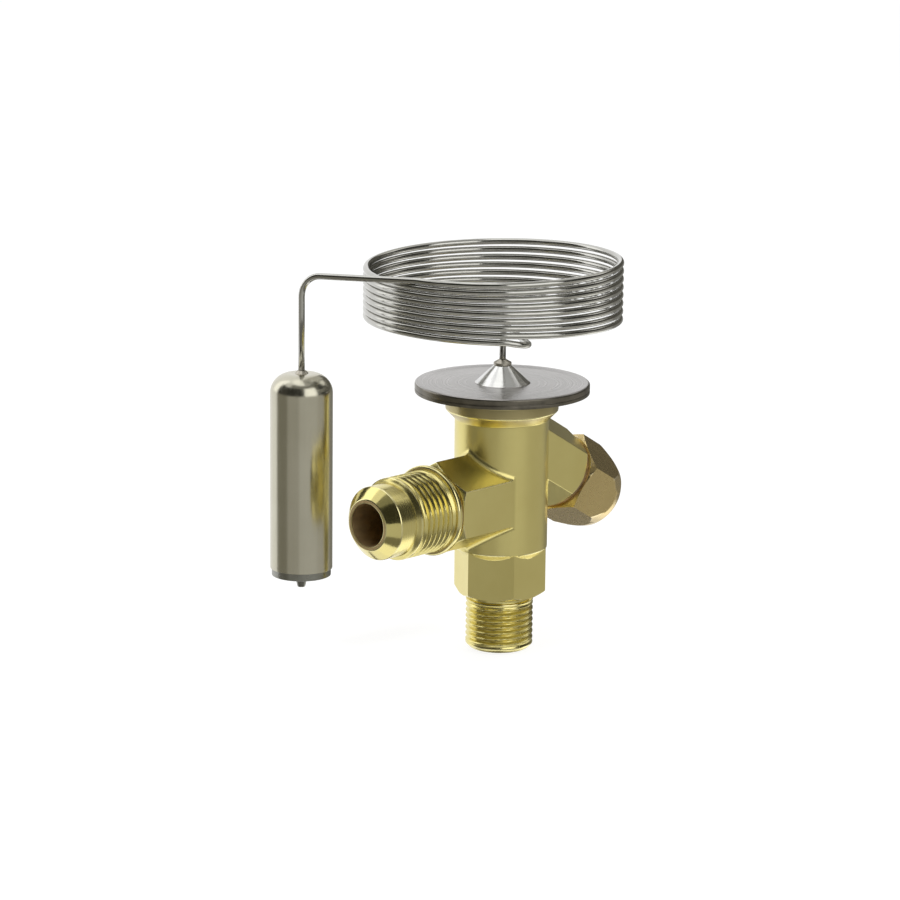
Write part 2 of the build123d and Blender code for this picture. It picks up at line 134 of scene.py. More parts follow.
def connect(tree, value, socket):
    """Gives a socket a value, or the link of another socket."""
    if isinstance(value, bpy.types.NodeSocket):
        tree.links.new(value, socket)
    else:
        socket.default_value = value


def plug(tree, node, **inputs):
    """Plugs values or sockets into a node's named inputs."""
    for key, value in inputs.items():
        connect(tree, value, node.inputs[key.replace("_", " ")])


def add(tree, kind, settings=None, **inputs):
    """Adds a node, sets its properties and plugs values or sockets into its named inputs."""
    node = tree.nodes.new(kind)
    for key, value in (settings or {}).items():
        setattr(node, key, value)
    plug(tree, node, **inputs)
    return node


def add_in_order(tree, kind, values, settings=None):
    """Adds a node and plugs values or sockets into its inputs in their order."""
    node = add(tree, kind, settings)
    for value, socket in zip(values, node.inputs):
        connect(tree, value, socket)
    return node


def maths(tree, operation, *values):
    """The result of a Math node."""
    return add_in_order(tree, "ShaderNodeMath", values, {"operation": operation}).outputs[0]


def vector_maths(tree, operation, *values):
    """A Vector Math node."""
    return add_in_order(tree, "ShaderNodeVectorMath", values, {"operation": operation})


def mixed_shaders(tree, factor, first, second):
    """The output of a Mix Shader node."""
    return add_in_order(tree, "ShaderNodeMixShader", (factor, first, second)).outputs[0]


def object_place(tree):
    """The place in the object's own coordinates."""
    return add(tree, "ShaderNodeTexCoord").outputs["Object"]


def noise(tree, scale, detail=4.0, roughness=0.55, stretch=(1, 1, 1)):
    """Noise in the object's own coordinates, with the scale in features a metre."""
    spread = add(tree, "ShaderNodeMapping", Vector=object_place(tree), Scale=stretch)
    texture = add(tree, "ShaderNodeTexNoise", Scale=scale, Detail=detail, Roughness=roughness)
    plug(tree, texture, Vector=spread.outputs["Vector"])
    return texture.outputs["Fac"]


def ramp(tree, factor, *stops):
    """A colour ramp through (place, colour) stops."""
    node = add(tree, "ShaderNodeValToRGB", Fac=factor)
    elements = node.color_ramp.elements
    while len(elements) < len(stops):
        elements.new(0.5)
    for element, (place, colour) in zip(elements, stops):
        element.position = place
        element.color = (*colour, 1)
    return node.outputs["Color"]


def level(tree, factor, low, high, start=0.0, end=1.0):
    """Maps a factor from one range to another."""
    node = add(
        tree, "ShaderNodeMapRange", Value=factor, From_Min=start, From_Max=end, To_Min=low, To_Max=high
    )
    return node.outputs["Result"]


def bumps(tree, height, distance, strength=1.0):
    """A normal that follows a height, with the distance in metres."""
    node = add(tree, "ShaderNodeBump", Height=height, Strength=strength, Distance=distance)
    return node.outputs["Normal"]


def place_along(tree, direction):
    """The place along a direction, in the object's own coordinates."""
    return vector_maths(tree, "DOT_PRODUCT", object_place(tree), direction).outputs["Value"]


def axis_distance(tree):
    """The distance from the main axis, in the object's own coordinates."""
    flat = vector_maths(tree, "MULTIPLY", object_place(tree), (1, 1, 0))
    return vector_maths(tree, "LENGTH", flat.outputs["Vector"]).outputs["Value"]


# Where the noise starts and ends that the colours and the gloss follow
CLOUDS_LOW, CLOUDS_HIGH = 0.32, 0.68
FINE_LOW, FINE_HIGH = 0.3, 0.7

# Features a metre of the fine textures
GRAIN = 900
FORGED_SKIN = 700
LATHE_MARKS = 5200
LATHE_RINGS = 2600
DRAWN_STREAKS = 1500


def lines(tree, place, a_metre, detail=3.0):
    """Fine tool marks: noise that changes with one place only."""
    texture = add(
        tree, "ShaderNodeTexNoise", {"noise_dimensions": "1D"}, W=place, Scale=a_metre, Detail=detail
    )
    return texture.outputs["Fac"]


def metal(name, light, dark, rough, spread=0.04, clouds=70, marks=None, bump=0.0):
    """A metal with slow colour changes, and tool marks or grain in its gloss.

    marks makes the tree's fine texture, and bump is its height in metres.
    """
    material, tree, shader = new_material(name)
    colour = ramp(tree, noise(tree, clouds, 3), (CLOUDS_LOW, dark), (CLOUDS_HIGH, light))
    fine = marks(tree) if marks else noise(tree, GRAIN, 2)
    gloss = level(tree, fine, rough - spread, rough + spread, FINE_LOW, FINE_HIGH)
    plug(tree, shader, Metallic=1.0, Base_Color=colour, Roughness=gloss)
    if bump:
        plug(tree, shader, Normal=bumps(tree, fine, bump))
    return material


def forged(tree):
    """The soft unevenness of a forged and tumbled skin."""
    return noise(tree, FORGED_SKIN, 2.0, 0.5)


def turned_along(direction):
    """Lathe marks round an axis."""
    return lambda tree: lines(tree, place_along(tree, direction), LATHE_MARKS)


def turned_flat(tree):
    """Fine rings round the main axis, as a lathe leaves them on a disc."""
    return lines(tree, axis_distance(tree), LATHE_RINGS)


def drawn(tree):
    """Streaks along a drawn tube."""
    return noise(tree, DRAWN_STREAKS, 3, stretch=(1, 1, 0.03))


BRASS_LIGHT = (0.84, 0.745, 0.31)
BRASS_DARK = (0.79, 0.69, 0.275)
TURNED_BRASS_ROUGH = 0.24
TURNED_BUMP = 1.5e-6
along_arm = turned_along((1, 0, 0))
along_main = turned_along((0, 0, 1))
along_spindle = turned_along((0.866, 0, -0.5))


def turned_brass(name, marks):
    """The body's brass where it is turned."""
    return metal(name, BRASS_LIGHT, BRASS_DARK, TURNED_BRASS_ROUGH, marks=marks, bump=TURNED_BUMP)


body_brass = metal("body_brass", BRASS_LIGHT, BRASS_DARK, 0.30, 0.02, marks=forged, bump=0.6e-6)
arm_brass = turned_brass("arm_brass", along_arm)
flare_brass = metal("flare_brass", BRASS_LIGHT, BRASS_DARK, 0.14, 0.03, marks=along_arm, bump=0.8e-6)
inlet_brass = turned_brass("inlet_brass", along_main)
spigot_brass = turned_brass("spigot_brass", along_spindle)
cap_brass = metal(
    "cap_brass", (0.74, 0.585, 0.28), (0.67, 0.525, 0.25), 0.28, 0.02, marks=forged, bump=0.25e-6
)
insert_brass = metal("insert_brass", (0.78, 0.68, 0.40), (0.72, 0.62, 0.36), 0.3, marks=along_main)
hard_steel = metal("hard_steel", (0.62, 0.62, 0.62), (0.55, 0.55, 0.56), 0.22, marks=along_main)
spring_steel = metal("spring_steel", (0.5, 0.5, 0.52), (0.42, 0.42, 0.44), 0.3)
tube_steel = metal("tube_steel", (0.57, 0.565, 0.535), (0.50, 0.495, 0.465), 0.14, clouds=160)
braze_metal = metal("braze_metal", (0.62, 0.59, 0.52), (0.42, 0.39, 0.33), 0.28, clouds=500)
gasket_metal = metal("gasket_metal", (0.62, 0.47, 0.32), (0.55, 0.4, 0.27), 0.35)
worn_brass = metal("worn_brass", (0.90, 0.82, 0.44), (0.84, 0.75, 0.36), 0.2, clouds=300)
worn_bronze = metal("worn_bronze", (0.88, 0.75, 0.48), (0.78, 0.64, 0.36), 0.2, clouds=300)
rim_steel = metal("rim_steel", (0.22, 0.20, 0.165), (0.13, 0.12, 0.10), 0.34, clouds=260)
# A lighter copy of the upper cover's steel for its nipple: a painted highlight
nipple_highlight_steel = metal("nipple_highlight_steel", (0.80, 0.80, 0.79), (0.72, 0.72, 0.71), 0.2, clouds=200)
# Browner, darker brass for the inside of the outlet: painted shade of the bore
bore_shade_brass = metal("bore_shade_brass", (0.74, 0.57, 0.31), (0.60, 0.45, 0.24), 0.6, clouds=300)
end_steel = metal("end_steel", (0.36, 0.36, 0.33), (0.28, 0.28, 0.25), 0.3, clouds=260)
element_steel = metal(
    "element_steel", (0.475, 0.46, 0.45), (0.42, 0.41, 0.40), 0.30, marks=turned_flat, bump=TURNED_BUMP
)
bulb_steel = metal("bulb_steel", (0.63, 0.605, 0.50), (0.585, 0.56, 0.455), 0.22, marks=drawn, bump=1e-6)

# The brass under the element, darkened by place from its lower end up to the joint under the disc: a painted
# shadow of the element disc above
DISC_SHADOW_STOPS = (0.0, BRASS_DARK), (0.35, (0.55, 0.47, 0.24)), (1.0, (0.34, 0.29, 0.15))
DISC_SHADOW_UNEVEN = 0.3 * MM

MESH_PITCH = 0.45 * MM
MESH_DIAGONALS = (0.707, 0.707, 0), (0.707, -0.707, 0)
# The dark stop is painted shade in the openings, the light one the wire
MESH_WIRE_AND_SHADE_STOPS = (0.55, (0.05, 0.05, 0.05)), (0.72, (0.6, 0.6, 0.58))
MESH_BUMP = 0.05 * MM

RUBBER_STOPS = (0.3, (0.02, 0.02, 0.02)), (0.7, (0.05, 0.05, 0.05))


def painted_disc_shadow():
    """The brass under the element, with a painted shadow of the element disc above it: darker towards the
    joint under the disc.
    """
    material, tree, shader = new_material("flange_brass_painted_shadow")
    # Noise makes the painted shadow's edge uneven
    clouds = level(tree, noise(tree, 160, 3), -DISC_SHADOW_UNEVEN, DISC_SHADOW_UNEVEN)
    height = maths(tree, "ADD", place_along(tree, (0, 0, 1)), clouds)
    colour = ramp(tree, level(tree, height, 0.0, 1.0, DISC_SHADOW_START, DISC_SHADOW_END), *DISC_SHADOW_STOPS)
    gloss = level(tree, forged(tree), 0.28, 0.34, FINE_LOW, FINE_HIGH)
    plug(tree, shader, Metallic=1.0, Base_Color=colour, Roughness=gloss)
    return material


def woven_mesh():
    """Woven wire: crossed wires, with painted shade in the openings between them."""
    material, tree, shader = new_material("mesh_steel")
    waves = []
    for diagonal in MESH_DIAGONALS:
        turns = maths(tree, "MULTIPLY", place_along(tree, diagonal), 2 * math.pi / MESH_PITCH)
        waves.append(maths(tree, "SINE", turns))
    crossed = maths(tree, "MAXIMUM", *waves)
    # Painted shade in the openings between the wires
    wires = ramp(tree, level(tree, crossed, 0.0, 1.0, -1.0, 1.0), *MESH_WIRE_AND_SHADE_STOPS)
    normal = bumps(tree, crossed, MESH_BUMP, 0.6)
    plug(tree, shader, Metallic=1.0, Base_Color=wires, Roughness=0.35, Normal=normal)
    return material


def rubber():
    """Black moulded rubber with a dull, slightly uneven skin."""
    material, tree, shader = new_material("seal_rubber")
    clouds = noise(tree, 400, 3)
    plug(tree, shader, Base_Color=ramp(tree, clouds, *RUBBER_STOPS), Roughness=level(tree, clouds, 0.5, 0.7))
    return material


# Flange brass with a painted shadow of the element disc above it
flange_brass_painted_shadow = painted_disc_shadow()

slot_materials = {
    "body_brass": body_brass,
    "cap_brass": cap_brass,
    "insert_brass": insert_brass,
    "hard_steel": hard_steel,
    "spring_steel": spring_steel,
    "mesh_steel": woven_mesh(),
    "element_steel": element_steel,
    "tube_steel": tube_steel,
    "bulb_steel": bulb_steel,
    "braze_metal": braze_metal,
    "gasket_metal": gasket_metal,
    "seal_rubber": rubber(),
}

node_slots = {entry["node"]: entry["material_slot"] for entry in frame["record"]["subparts"]}
for name, node in nodes.items():
    node.data.materials.clear()
    node.data.materials.append(slot_materials[node_slots[name]])


# Mesh helpers

MERGE = 0.002 * MM
FOLD_ANGLE = math.radians(140)
LITTLE_ANGLE = math.radians(4)
FOLD_REACH = 0.4 * MM
FOLD_PASSES = 4
FOLD_STEP = 0.3 * MM
FLAT_ANGLE = math.radians(0.6)
ROOM_SHARE = 0.85
ROUND_PROFILE = 0.6
ROUNDED = 1

# A thread's rows of points a pitch, how steep its groove is, and how far its points may lie off the wall
THREAD_ROWS = 12
GROOVE_STEEPNESS = 1.2
WALL_SLACK = 0.01 * MM


def linked(name, data):
    """A new object in the scene."""
    thing = bpy.data.objects.new(name, data)
    bpy.context.scene.collection.objects.link(thing)
    return thing


def new_mesh(name, vertices, faces, material):
    """A mesh from points and faces, with one material."""
    mesh = bpy.data.meshes.new(name)
    mesh.from_pydata([tuple(v) for v in vertices], [], faces)
    mesh.materials.append(material)
    return mesh


def mesh_piece(name, vertices, faces, body, slot, material=None):
    """A new smooth piece that rides on a body, with its record slot's finish or one of its own."""
    mesh = new_mesh(name, vertices, faces, material or slot_materials[slot])
    mesh.polygons.foreach_set("use_smooth", [True] * len(mesh.polygons))
    piece = linked(name, mesh)
    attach(piece, body)
    return piece


def axis_matrix(origin, direction, side):
    """A placement whose Z runs along an axis."""
    z = Vector(direction).normalized()
    x = Vector(side).normalized()
    y = z.cross(x)
    return Matrix.Translation(origin) @ Matrix((x, y, z)).transposed().to_4x4()


def cut_thread(bm, place, radius, start, end, pitch):
    """Turns a plain cylinder of a mesh into a right-hand thread that runs out at both ends.

    The new rows are joined to the rims that were there, so the mesh stays closed.
    """
    inverse = place.inverted()

    def on_wall(vert):
        p = inverse @ vert.co
        off = abs(math.hypot(p.x, p.y) - radius)
        return off < WALL_SLACK and start - WALL_SLACK < p.z < end + WALL_SLACK

    def height(vert):
        return (inverse @ vert.co).z

    def round_axis(vert):
        p = inverse @ vert.co
        return math.atan2(p.y, p.x) % (2 * math.pi)

    wall = [face for face in bm.faces if all(on_wall(v) for v in face.verts)]
    rim_edges = [
        edge for face in wall for edge in face.edges
        if abs(height(edge.verts[0]) - height(edge.verts[1])) < WALL_SLACK
    ]
    rim_verts = {vert for edge in rim_edges for vert in edge.verts}
    middle = (min(map(height, rim_verts)) + max(map(height, rim_verts))) / 2
    low = sorted((v for v in rim_verts if height(v) < middle), key=round_axis)
    high = sorted((v for v in rim_verts if height(v) > middle), key=round_axis)
    bmesh.ops.delete(bm, geom=wall, context="FACES_ONLY")
    first, last = height(low[0]), height(high[0])
    angles = [round_axis(vert) for vert in low]
    count = round((last - first) / pitch * THREAD_ROWS)
    rows = [low]
    for row in range(1, count):
        along = first + (last - first) * row / count
        fade = min(1.0, (along - first) / pitch, (last - along) / pitch)
        ring = []
        for angle in angles:
            phase = ((along - first) / pitch - angle / (2 * math.pi)) % 1.0
            groove = min(1.0, max(0.0, 1 - abs(phase - 0.5) / THREAD_GROOVE) * GROOVE_STEEPNESS)
            r = radius - THREAD_DEPTH * pitch * fade * groove
            ring.append(bm.verts.new(place @ Vector((r * math.cos(angle), r * math.sin(angle), along))))
        rows.append(ring)
    rows.append(high)
    for lower, upper in zip(rows, rows[1:]):
        for i in range(len(low)):
            j = (i + 1) % len(low)
            bm.faces.new((lower[i], lower[j], upper[j], upper[i]))
    loose = [edge for edge in bm.edges if not edge.link_faces]
    bmesh.ops.delete(bm, geom=loose, context="EDGES")


def bevelled(mesh, width, segments):
    """A bmesh of a mesh after a bevel by its edges' weights, which gives the new faces the ROUNDED index."""
    for _ in range(ROUNDED + 1):
        mesh.materials.append(None)
    helper = linked("rounding", mesh)
    modifier = helper.modifiers.new("round", "BEVEL")
    modifier.limit_method = "WEIGHT"
    modifier.width = width
    modifier.segments = segments
    modifier.profile = ROUND_PROFILE
    modifier.use_clamp_overlap = False
    modifier.material = ROUNDED
    bm = bmesh.new()
    bm.from_object(helper, bpy.context.evaluated_depsgraph_get())
    bpy.data.objects.remove(helper)
    return bm


def fold_points(bm):
    """The places where a mesh folds back on itself."""
    return [
        (edge.verts[0].co + edge.verts[1].co) / 2 for edge in bm.edges
        if len(edge.link_faces) == 2 and edge.calc_face_angle() > FOLD_ANGLE
    ]


def place_tree(places):
    """A search tree of places."""
    tree = kdtree.KDTree(len(places))
    for index, place in enumerate(places):
        tree.insert(place, index)
    tree.balance()
    return tree


def is_near(edge, tree):
    """Whether any part of an edge is close to the places of a search tree."""
    start, end = edge.verts[0].co, edge.verts[1].co
    steps = max(2, math.ceil(edge.calc_length() / FOLD_STEP))
    points = (start.lerp(end, step / steps) for step in range(steps + 1))
    return any(tree.find(point)[2] < FOLD_REACH for point in points)


def rounded_edges(source, width, segments, sharp):
    """A mesh's sharp edges rounded to a width, or to less where their faces leave no room for it.

    Edges beside a place that folds over are left sharp.
    """
    base = bmesh.new()
    base.from_mesh(source)
    bmesh.ops.remove_doubles(base, verts=base.verts, dist=MERGE)
    bmesh.ops.dissolve_limit(base, angle_limit=FLAT_ANGLE, verts=base.verts, edges=base.edges)
    weight = base.edges.layers.float.new("bevel_weight_edge")
    limit = math.radians(sharp)
    edges = {edge for edge in base.edges if len(edge.link_faces) == 2 and edge.calc_face_angle() > limit}
    corners = {vert for edge in edges for vert in edge.verts}
    for edge in edges:
        sides = [side for vert in edge.verts for side in vert.link_edges if side not in edges]
        rooms = (side.calc_length() / sum(v in corners for v in side.verts) for side in sides)
        edge[weight] = min(1.0, ROOM_SHARE * min(rooms, default=width) / width)
    for _ in range(FOLD_PASSES):
        mesh = bpy.data.meshes.new("rounding")
        base.to_mesh(mesh)
        bm = bevelled(mesh, width, segments)
        bpy.data.meshes.remove(mesh)
        folds = fold_points(bm)
        if not folds:
            break
        tree = place_tree(folds)
        for edge in edges:
            if is_near(edge, tree):
                edge[weight] = 0.0
    base.free()
    return bm


def is_rubbed(face):
    """Whether a face is part of an outer edge's rounding, which handling rubs bright."""
    return face.material_index == ROUNDED and all(
        edge.is_convex for edge in face.edges if edge.calc_face_angle(0) > LITTLE_ANGLE
    )


def take_finishes(bm, finishes):
    """Gives each face the index of the last finish whose test it passes, or 0 for the piece's own."""
    for face in bm.faces:
        passed = [index for index, (_, test) in enumerate(finishes, 1) if test(face)]
        face.material_index = passed[-1] if passed else 0


def shade_smooth(bm, crease):
    """Shades all smooth, but for edges sharper than the crease angle."""
    limit = math.radians(crease)
    for face in bm.faces:
        face.smooth = True
    for edge in bm.edges:
        edge.smooth = len(edge.link_faces) != 2 or edge.calc_face_angle() < limit


def dressed(node, name, body, width, threads=(), finishes=(), worn=None, segments=2, sharp=28, crease=26):
    """A copy of a CAD node that stands for it: facets welded, sharp edges rounded, threads cut.

    finishes are further materials, each with a test of the faces that take it.
    worn is the finish of its outer edges.
    """
    bm = rounded_edges(nodes[node].data, width, segments, sharp)
    for settings in threads:
        cut_thread(bm, *settings)
    bm.normal_update()
    if worn:
        rubbed = {face for face in bm.faces if is_rubbed(face)}
        finishes = (*finishes, (worn, rubbed.__contains__))
    take_finishes(bm, finishes)
    shade_smooth(bm, crease)
    mesh = bpy.data.meshes.new(name)
    bm.to_mesh(mesh)
    bm.free()
    for material in (slot_materials[node_slots[node]], *(finish for finish, _ in finishes)):
        mesh.materials.append(material)
    piece = linked(name, mesh)
    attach(piece, body)
    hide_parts(node)
    weighted = piece.modifiers.new("weighted", "WEIGHTED_NORMAL")
    weighted.keep_sharp = True


# Body, cap, element and bulb

spindle_down = Vector((math.cos(SPINDLE_SLOPE), 0, -math.sin(SPINDLE_SLOPE)))
spindle_side = Vector((math.sin(SPINDLE_SLOPE), 0, math.cos(SPINDLE_SLOPE)))
inlet_place = Matrix.Identity(4)
outlet_place = axis_matrix((0, 0, OUTLET_Z), (-1, 0, 0), (0, 0, 1))
spindle_place = axis_matrix((0, 0, SPINDLE_Z), spindle_down, spindle_side)
body_threads = [
    (inlet_place, INLET_THREAD_R, INLET_THREAD_START, INLET_THREAD_END, INLET_PITCH),
    (outlet_place, OUTLET_THREAD_R, OUTLET_THREAD_START, OUTLET_THREAD_END, OUTLET_PITCH),
    (spindle_place, SPIGOT_R, SPIGOT_START, SPIGOT_END, SPIGOT_PITCH),
]


def axis_radius(place):
    """How far a place is from the main axis."""
    return math.hypot(place.x, place.y)


def on_arm_end(face):
    """The turned end of the outlet arm: collar, thread, pilot and flare."""
    return face.calc_center_median().x < -ARM_END_START


def on_flare(face):
    """The smooth flare cone that the pipe's end seats on."""
    return face.calc_center_median().x < -FLARE_START


def on_inlet_end(face):
    """The turned inlet end, below the lower hexagon."""
    return face.calc_center_median().z < INLET_END_TOP


def on_spigot(face):
    """The turned spigot under the seal cap."""
    away = face.calc_center_median() - Vector((0, 0, SPINDLE_Z))
    return away.dot(spindle_down) > SPIGOT_FACES_START


def on_rim(face):
    """The welded outer rim of the element."""
    middle = face.calc_center_median()
    return axis_radius(middle) > ELEMENT_R - RIM_WIDTH and middle.z < RIM_TOP


def on_nipple(face):
    """The cone in the middle of the upper cover, which takes a lighter copy of the cover's steel as a
    painted highlight.
    """
    middle = face.calc_center_median()
    return axis_radius(middle) < NIPPLE_R and middle.z > NIPPLE_BASE


def on_flange(face):
    """The flange under the element, which takes the painted shadow of the element disc above it."""
    middle = face.calc_center_median()
    return axis_radius(middle) > FLANGE_INNER_R and middle.z > FLANGE_BASE


def in_bore(face):
    """The inside of the outlet, which takes the browner, darker brass of a painted shade."""
    middle = face.calc_center_median()
    return middle.x < -BORE_DEEPEST and math.hypot(middle.y, middle.z - OUTLET_Z) < BORE_R


def everywhere(face):
    """Any face."""
    return True


body_finishes = (
    (arm_brass, on_arm_end),
    (flare_brass, on_flare),
    (inlet_brass, on_inlet_end),
    (spigot_brass, on_spigot),
    # The flange takes the brass with the painted shadow of the element disc
    (flange_brass_painted_shadow, on_flange),
    (bore_shade_brass, in_bore),
)
upper_finishes = ((rim_steel, on_rim), (nipple_highlight_steel, on_nipple))

# Each width in millimetres is that of the piece's rounded edges
dressed("valve_body", "body", "valve", 0.22 * MM, body_threads, body_finishes, worn_brass)
dressed("seal_cap", "cap", "cap", 0.28 * MM, worn=worn_bronze)
dressed("element_upper_cover", "upper_cover", "valve", 0.18 * MM, finishes=upper_finishes)
dressed("element_lower_cover", "lower_cover", "valve", 0.15 * MM, finishes=((rim_steel, on_rim),))
dressed("bulb_shell", "bulb", "valve", 0.1 * MM)
dressed("bulb_end_cap", "bulb_cap", "valve", 0.15 * MM, finishes=((end_steel, everywhere),))

WELD_R = ELEMENT_R - 0.08 * MM
WELD_DEPTH = 0.5 * MM
WELD_BOTTOM = SEAM_BOTTOM - 0.2 * MM
WELD_TOP = SEAM_TOP + 0.2 * MM
WELD_STEPS = 168
WELD_SIDES = 8
WELD_RIPPLES = 56
WELD_RIPPLE = 0.06


def rim_weld():
    """The rippled weld bead that closes the seam between the two covers."""
    vertices, faces = [], []
    for step in range(WELD_STEPS):
        angle = 2 * math.pi * step / WELD_STEPS
        ripple = 1 + WELD_RIPPLE * math.sin(WELD_RIPPLES * angle)
        for place in range(WELD_SIDES):
            turn = 2 * math.pi * place / WELD_SIDES
            r = WELD_R - WELD_DEPTH / 2 + WELD_DEPTH / 2 * math.cos(turn) * ripple
            z = (WELD_BOTTOM + WELD_TOP) / 2 + (WELD_TOP - WELD_BOTTOM) / 2 * math.sin(turn)
            vertices.append((r * math.cos(angle), r * math.sin(angle), z))
    for step in range(WELD_STEPS):
        here, there = step * WELD_SIDES, (step + 1) % WELD_STEPS * WELD_SIDES
        for place in range(WELD_SIDES):
            beside = (place + 1) % WELD_SIDES
            faces.append((here + place, there + place, there + beside, here + beside))
    mesh_piece("rim_weld", vertices, faces, "valve", "element_steel", rim_steel)


rim_weld()


# Capillary tube

def coil_point(turn):
    """The tube's centre line so many turns from the coil's lower end.

    The turns hang and fan out on one side.
    """
    angle = COIL_START_ANGLE - 2 * math.pi * turn
    wide = math.cos(angle - COIL_WIDE_ANGLE)
    height = COIL_BOTTOM - COIL_TILT * wide + (COIL_PITCH + COIL_FAN * wide) * turn
    return COIL_CENTRE + Vector((COIL_R * math.cos(angle), COIL_R * math.sin(angle), height))


def rounded(points, radius, steps=10):
    """The points of a bent run, with an arc in place of each inner corner."""
    line = [points[0]]
    for before, corner, after in zip(points, points[1:], points[2:]):
        to_before, to_after = (before - corner).normalized(), (after - corner).normalized()
        half = to_before.angle(to_after) / 2
        reach = radius / math.tan(half)
        centre = corner + (to_before + to_after).normalized() * radius / math.sin(half)
        start, end = corner + to_before * reach, corner + to_after * reach
        for step in range(steps + 1):
            spoke = (start - centre).slerp(end - centre, step / steps).normalized()
            line.append(centre + spoke * radius)
    line.append(points[-1])
    return line


def swept_tube(name, line, radius, sides, body, slot):
    """A round tube along a line of points, with closed ends."""
    tangents = []
    for i in range(len(line)):
        tangents.append((line[min(i + 1, len(line) - 1)] - line[max(i - 1, 0)]).normalized())
    side = tangents[0].orthogonal().normalized()
    vertices, faces = [], []
    for point, tangent in zip(line, tangents):
        side = (side - tangent * side.dot(tangent)).normalized()
        up = tangent.cross(side)
        for step in range(sides):
            angle = 2 * math.pi * step / sides
            vertices.append(point + (side * math.cos(angle) + up * math.sin(angle)) * radius)
    for row in range(len(line) - 1):
        for step in range(sides):
            a, b = row * sides + step, row * sides + (step + 1) % sides
            faces.append((a, b, b + sides, a + sides))
    faces.append(tuple(reversed(range(sides))))
    faces.append(tuple(range(len(vertices) - sides, len(vertices))))
    return mesh_piece(name, vertices, faces, body, slot)


TURN_STEPS = 96
TUBE_SIDES = 16
coil_steps = round(COIL_SWEEP * TURN_STEPS)
coil = [coil_point(COIL_SWEEP * i / coil_steps) for i in range(coil_steps + 1)]
start_tangent = Vector((math.sin(COIL_START_ANGLE), -math.cos(COIL_START_ANGLE), 0))
entry_corner = coil[0] - start_tangent * ENTRY_LEAD
entry_corner.z = RISER_TOP
riser = [Vector((0, 0, TUBE_SOCKET_Z)), Vector((0, 0, RISER_TOP))]
exit_corner = Vector((BULB_AXIS.x, BULB_AXIS.y, coil[-1].z - EXIT_DROP))
bulb_mouth = Vector((BULB_AXIS.x, BULB_AXIS.y, BULB_SOCKET_Z))
entry_run = rounded([*riser, entry_corner, coil[0]], TUBE_BEND_R)
exit_run = rounded([coil[-1], exit_corner, bulb_mouth], EXIT_BEND_R)
tube_line = entry_run[:-1] + coil + exit_run[1:]
capillary = swept_tube("capillary", tube_line, TUBE_R, TUBE_SIDES, "valve", "tube_steel")
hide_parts("capillary_tube")


# Camera

toward_camera = Vector((
    -math.cos(CAMERA_ROUND) * math.cos(CAMERA_UP),
    -math.sin(CAMERA_ROUND) * math.cos(CAMERA_UP),
    math.sin(CAMERA_UP),
))
level_right = Vector((math.sin(CAMERA_ROUND), -math.cos(CAMERA_ROUND), 0))
level_up = toward_camera.cross(level_right)
camera_right = level_right * math.cos(CAMERA_ROLL) + level_up * math.sin(CAMERA_ROLL)
camera_up = level_up * math.cos(CAMERA_ROLL) - level_right * math.sin(CAMERA_ROLL)
target = Vector((0, 0, TARGET_HEIGHT)) + level_right * TARGET_SHIFT
camera_data = bpy.data.cameras.new("camera")
camera_data.sensor_width = 36
camera_data.lens = CAMERA_LENS
camera_data.clip_start = 0.01
camera = linked("camera", camera_data)
camera.matrix_world = (
    Matrix.Translation(target + toward_camera * CAMERA_DISTANCE)
    @ Matrix((camera_right, camera_up, toward_camera)).transposed().to_4x4()
)
bpy.context.scene.camera = camera


# Floor, world and lamps

def stage_piece(name, vertices, faces, material):
    """A mesh of the studio, which isn't part of the object."""
    piece = linked(name, new_mesh(name, vertices, faces, material))
    return piece


def bare_material(name):
    """An empty node material with the output's socket for a shader."""
    material, tree, shader = new_material(name)
    tree.nodes.remove(shader)
    output = next(node for node in tree.nodes if node.type == "OUTPUT_MATERIAL")
    return material, tree, output.inputs["Surface"]


def light_path(tree):
    """The outputs that tell what kind of ray looks."""
    return add(tree, "ShaderNodeLightPath").outputs


def floor_material():
    """White paper: plain to the lamps and full white to the camera. Reflections look through it."""
    material, tree, surface = bare_material("floor_paper")
    paper = add(tree, "ShaderNodeBsdfDiffuse", Color=(0.25, 0.25, 0.25, 1)).outputs[0]
    glow = add(tree, "ShaderNodeEmission", Color=(1, 1, 1, 1), Strength=0.86).outputs[0]
    both = add_in_order(tree, "ShaderNodeAddShader", (paper, glow)).outputs[0]
    plain = add(tree, "ShaderNodeBsdfDiffuse", Color=(0.8, 0.8, 0.8, 1)).outputs[0]
    clear = add(tree, "ShaderNodeBsdfTransparent").outputs[0]
    rays = light_path(tree)
    lit = mixed_shaders(tree, rays["Is Camera Ray"], plain, both)
    tree.links.new(mixed_shaders(tree, rays["Is Glossy Ray"], lit, clear), surface)
    return material


FLOOR_SIZE = 3.0
FLOOR_Z = -0.3 * MM
corners = [(-1, -1), (1, -1), (1, 1), (-1, 1)]
floor_points = [(x * FLOOR_SIZE, y * FLOOR_SIZE, FLOOR_Z) for x, y in corners]
stage_piece("floor", floor_points, [(0, 1, 2, 3)], floor_material())

SKY_STRENGTH = 0.55
WHITE_STRENGTH = 1.0


def studio_world():
    """A soft sky that lights the object, and plain white to the camera, reflections and glass."""
    world = bpy.data.worlds.new("studio")
    world.use_nodes = True
    tree = world.node_tree
    tree.nodes.clear()
    output = tree.nodes.new("ShaderNodeOutputWorld")
    sky = add(tree, "ShaderNodeBackground", Color=(1, 1, 1, 1), Strength=SKY_STRENGTH).outputs[0]
    white = add(tree, "ShaderNodeBackground", Color=(1, 1, 1, 1), Strength=WHITE_STRENGTH).outputs[0]
    rays = light_path(tree)
    seen = maths(tree, "MAXIMUM", rays["Is Camera Ray"], rays["Is Glossy Ray"])
    seen = maths(tree, "MAXIMUM", seen, rays["Is Transmission Ray"])
    tree.links.new(mixed_shaders(tree, seen, sky, white), output.inputs["Surface"])
    return world


bpy.context.scene.world = studio_world()

PANEL_CENTRE = Vector((0, 0, 50 * MM))
PANEL_DISTANCE = 1.5
PANEL_STEP = 6


